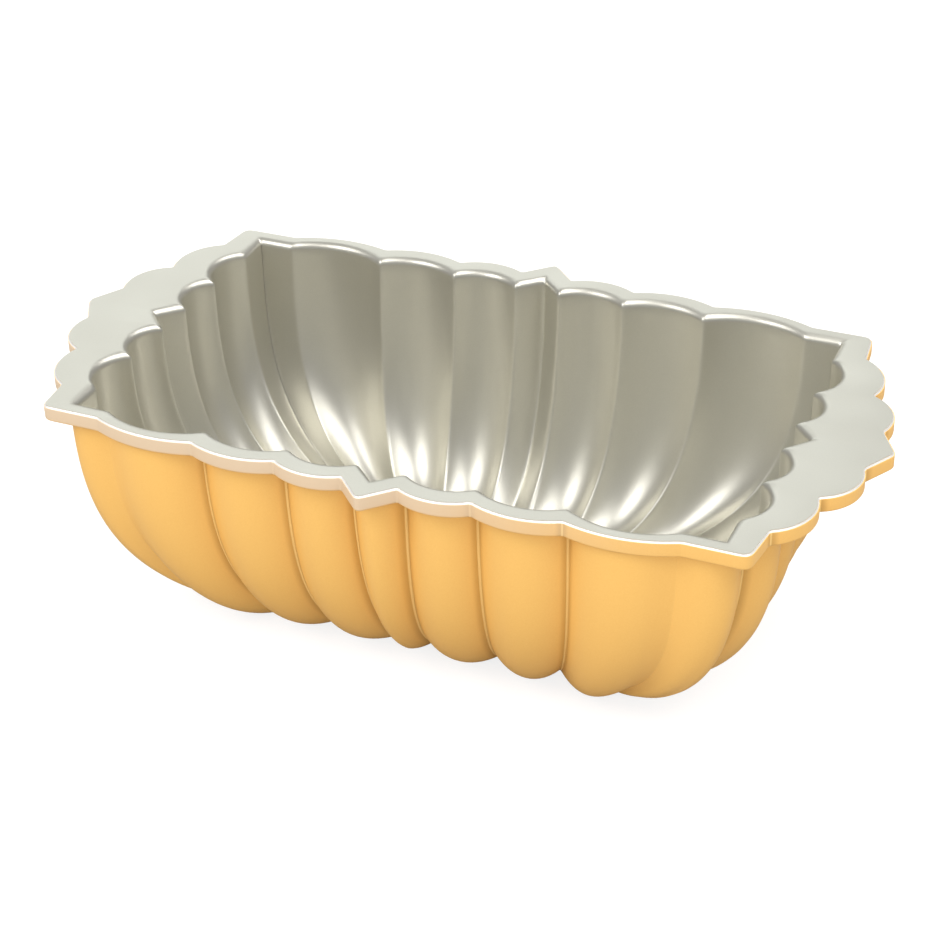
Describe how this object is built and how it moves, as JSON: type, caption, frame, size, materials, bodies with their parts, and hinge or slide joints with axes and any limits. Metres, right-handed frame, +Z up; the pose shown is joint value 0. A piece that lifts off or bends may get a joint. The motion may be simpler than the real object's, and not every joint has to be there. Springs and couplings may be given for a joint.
{
  "type": "fluted loaf pan",
  "caption": "Cast loaf pan with fluted, ribbed and rounded walls, a scalloped flat rim, an end handle at each short side, gold outside and silver non-stick inside.",
  "frame": {"origin": "centre of the flat base, on the surface the pan stands on", "axes": "+X along the length, from one end handle to the other; +Y across the width; +Z up, out of the mouth"},
  "size_m": [0.2594, 0.1502, 0.076],
  "materials": {
    "bare_aluminium": "bare cast metal, machined bright along the rim's top edge",
    "silver_nonstick": "satin silver non-stick coat",
    "gold_paint": "satin gold coat with a fine metallic grain"
  },
  "bodies": {
    "root": {"cast_body": "bare_aluminium", "nonstick_lining": "silver_nonstick", "gold_coat": "gold_paint"}
  },
  "joints": []
}
